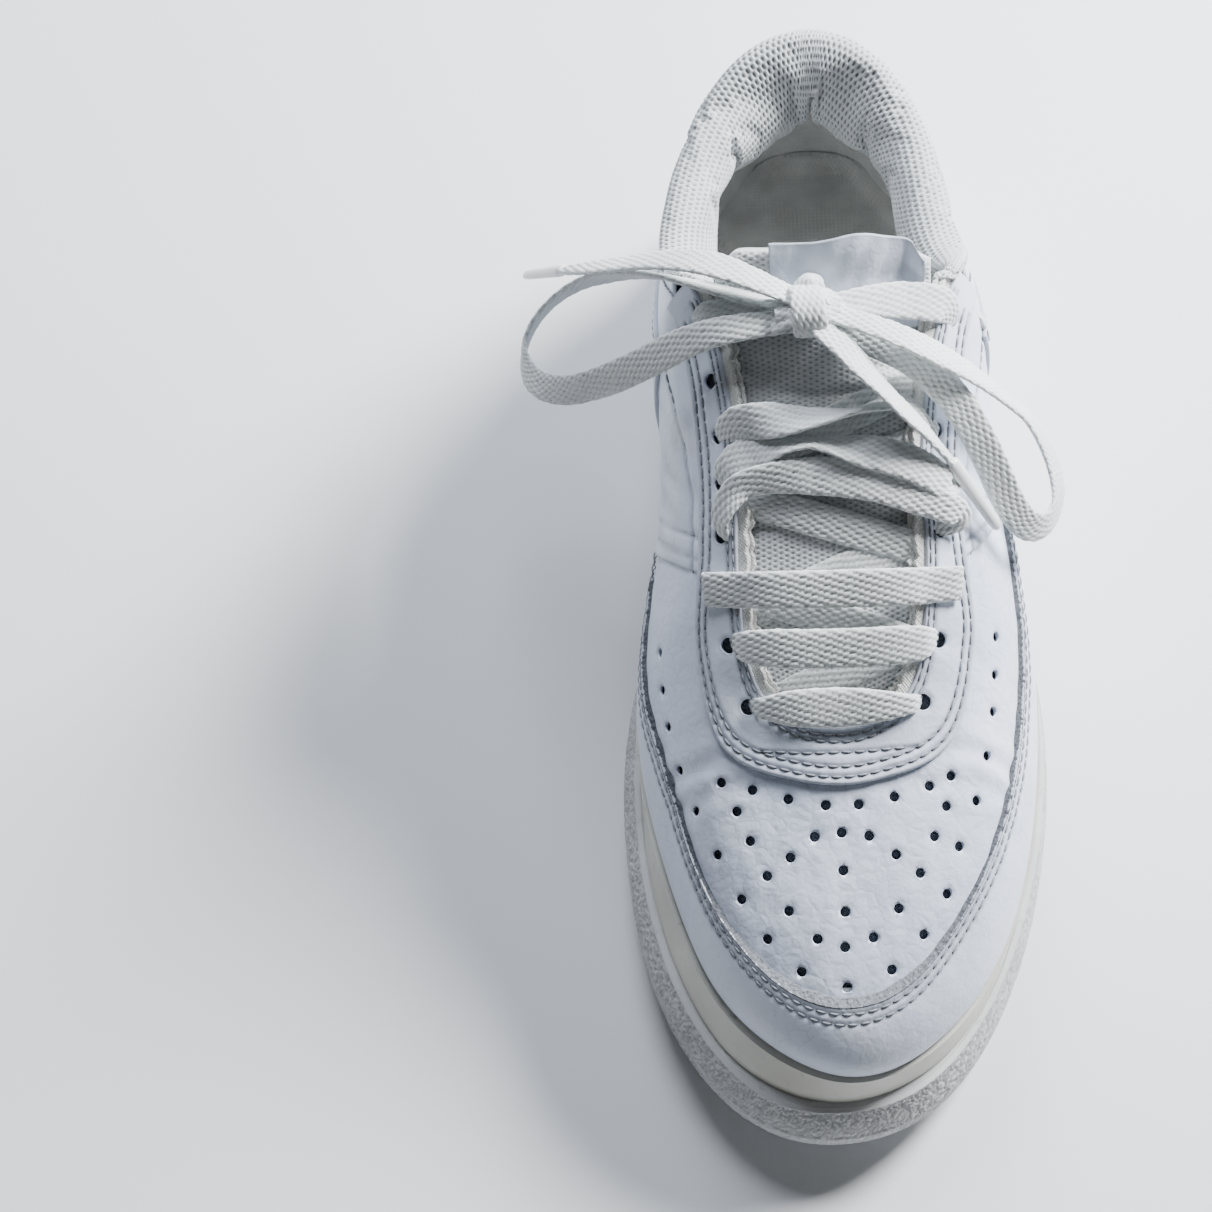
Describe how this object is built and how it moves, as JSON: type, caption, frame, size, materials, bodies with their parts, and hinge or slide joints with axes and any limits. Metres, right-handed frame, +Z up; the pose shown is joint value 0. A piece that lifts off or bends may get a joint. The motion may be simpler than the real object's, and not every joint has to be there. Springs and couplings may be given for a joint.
{
  "type": "court shoe",
  "caption": "Left low-top leather court shoe on a platform cup sole, flat woven laces tied in a bow, padded mesh collar, tongue hinged at the throat.",
  "frame": {"origin": "on the ground below the middle of the sole's box", "axes": "+Z up, toe towards -Y, heel towards +Y, +X the outer (lateral) side of a left shoe"},
  "size_m": [0.1382, 0.2823, 0.119],
  "materials": {
    "white_leather": "satin",
    "grey_leather": "satin",
    "outsole_rubber": "textured",
    "rim_rubber": "smooth",
    "eva_foam": "matte",
    "fibre_board": "matte",
    "pu_foam": "matte",
    "felt_cover": "matte",
    "spacer_mesh": "matte",
    "knit_mesh": "matte",
    "lining_cloth": "matte",
    "stiffener": "matte",
    "lace_cotton": "matte",
    "aglet_plastic": "glossy"
  },
  "bodies": {
    "shoe": {"aglet_inner": "aglet_plastic", "aglet_outer": "aglet_plastic", "collar_foam": "pu_foam", "collar_lining": "spacer_mesh", "collar_roll": "spacer_mesh", "eyestay": "white_leather", "eyestay_backing": "grey_leather", "heel_counter": "stiffener", "heel_lining": "lining_cloth", "heel_overlay": "white_leather", "heel_tab": "white_leather", "insole_board": "fibre_board", "lace_bar_1": "lace_cotton", "lace_bar_2": "lace_cotton", "lace_bar_3": "lace_cotton", "lace_bar_4": "lace_cotton", "lace_bar_5": "lace_cotton", "lace_bar_6": "lace_cotton", "lace_crossings": "lace_cotton", "lace_end_inner": "lace_cotton", "lace_end_outer": "lace_cotton", "lace_knot": "lace_cotton", "lace_loop_inner": "lace_cotton", "lace_loop_outer": "lace_cotton", "lace_top_inner": "lace_cotton", "lace_top_outer": "lace_cotton", "midsole_foam": "eva_foam", "midsole_rim": "rim_rubber", "mudguard": "white_leather", "outsole": "outsole_rubber", "quarter_inner": "white_leather", "quarter_lining_inner": "lining_cloth", "quarter_lining_outer": "lining_cloth", "quarter_outer": "white_leather", "side_panel_inner": "white_leather", "side_panel_outer": "white_leather", "sockliner_cover": "felt_cover", "sockliner_foam": "pu_foam", "toe_puff": "stiffener", "vamp": "white_leather", "vamp_lining": "lining_cloth"},
    "tongue": {"tongue_face": "knit_mesh", "tongue_foam": "pu_foam", "tongue_label": "white_leather", "tongue_lining": "lining_cloth"}
  },
  "joints": [
    {"name": "tongue_hinge", "type": "hinge", "parent": "shoe", "child": "tongue", "pos_m": [-0.001, -0.054, 0.056], "axis": [1, 0, 0], "range_deg": [-8, 0], "stiffness_Nm_per_rad": 0.6}
  ]
}
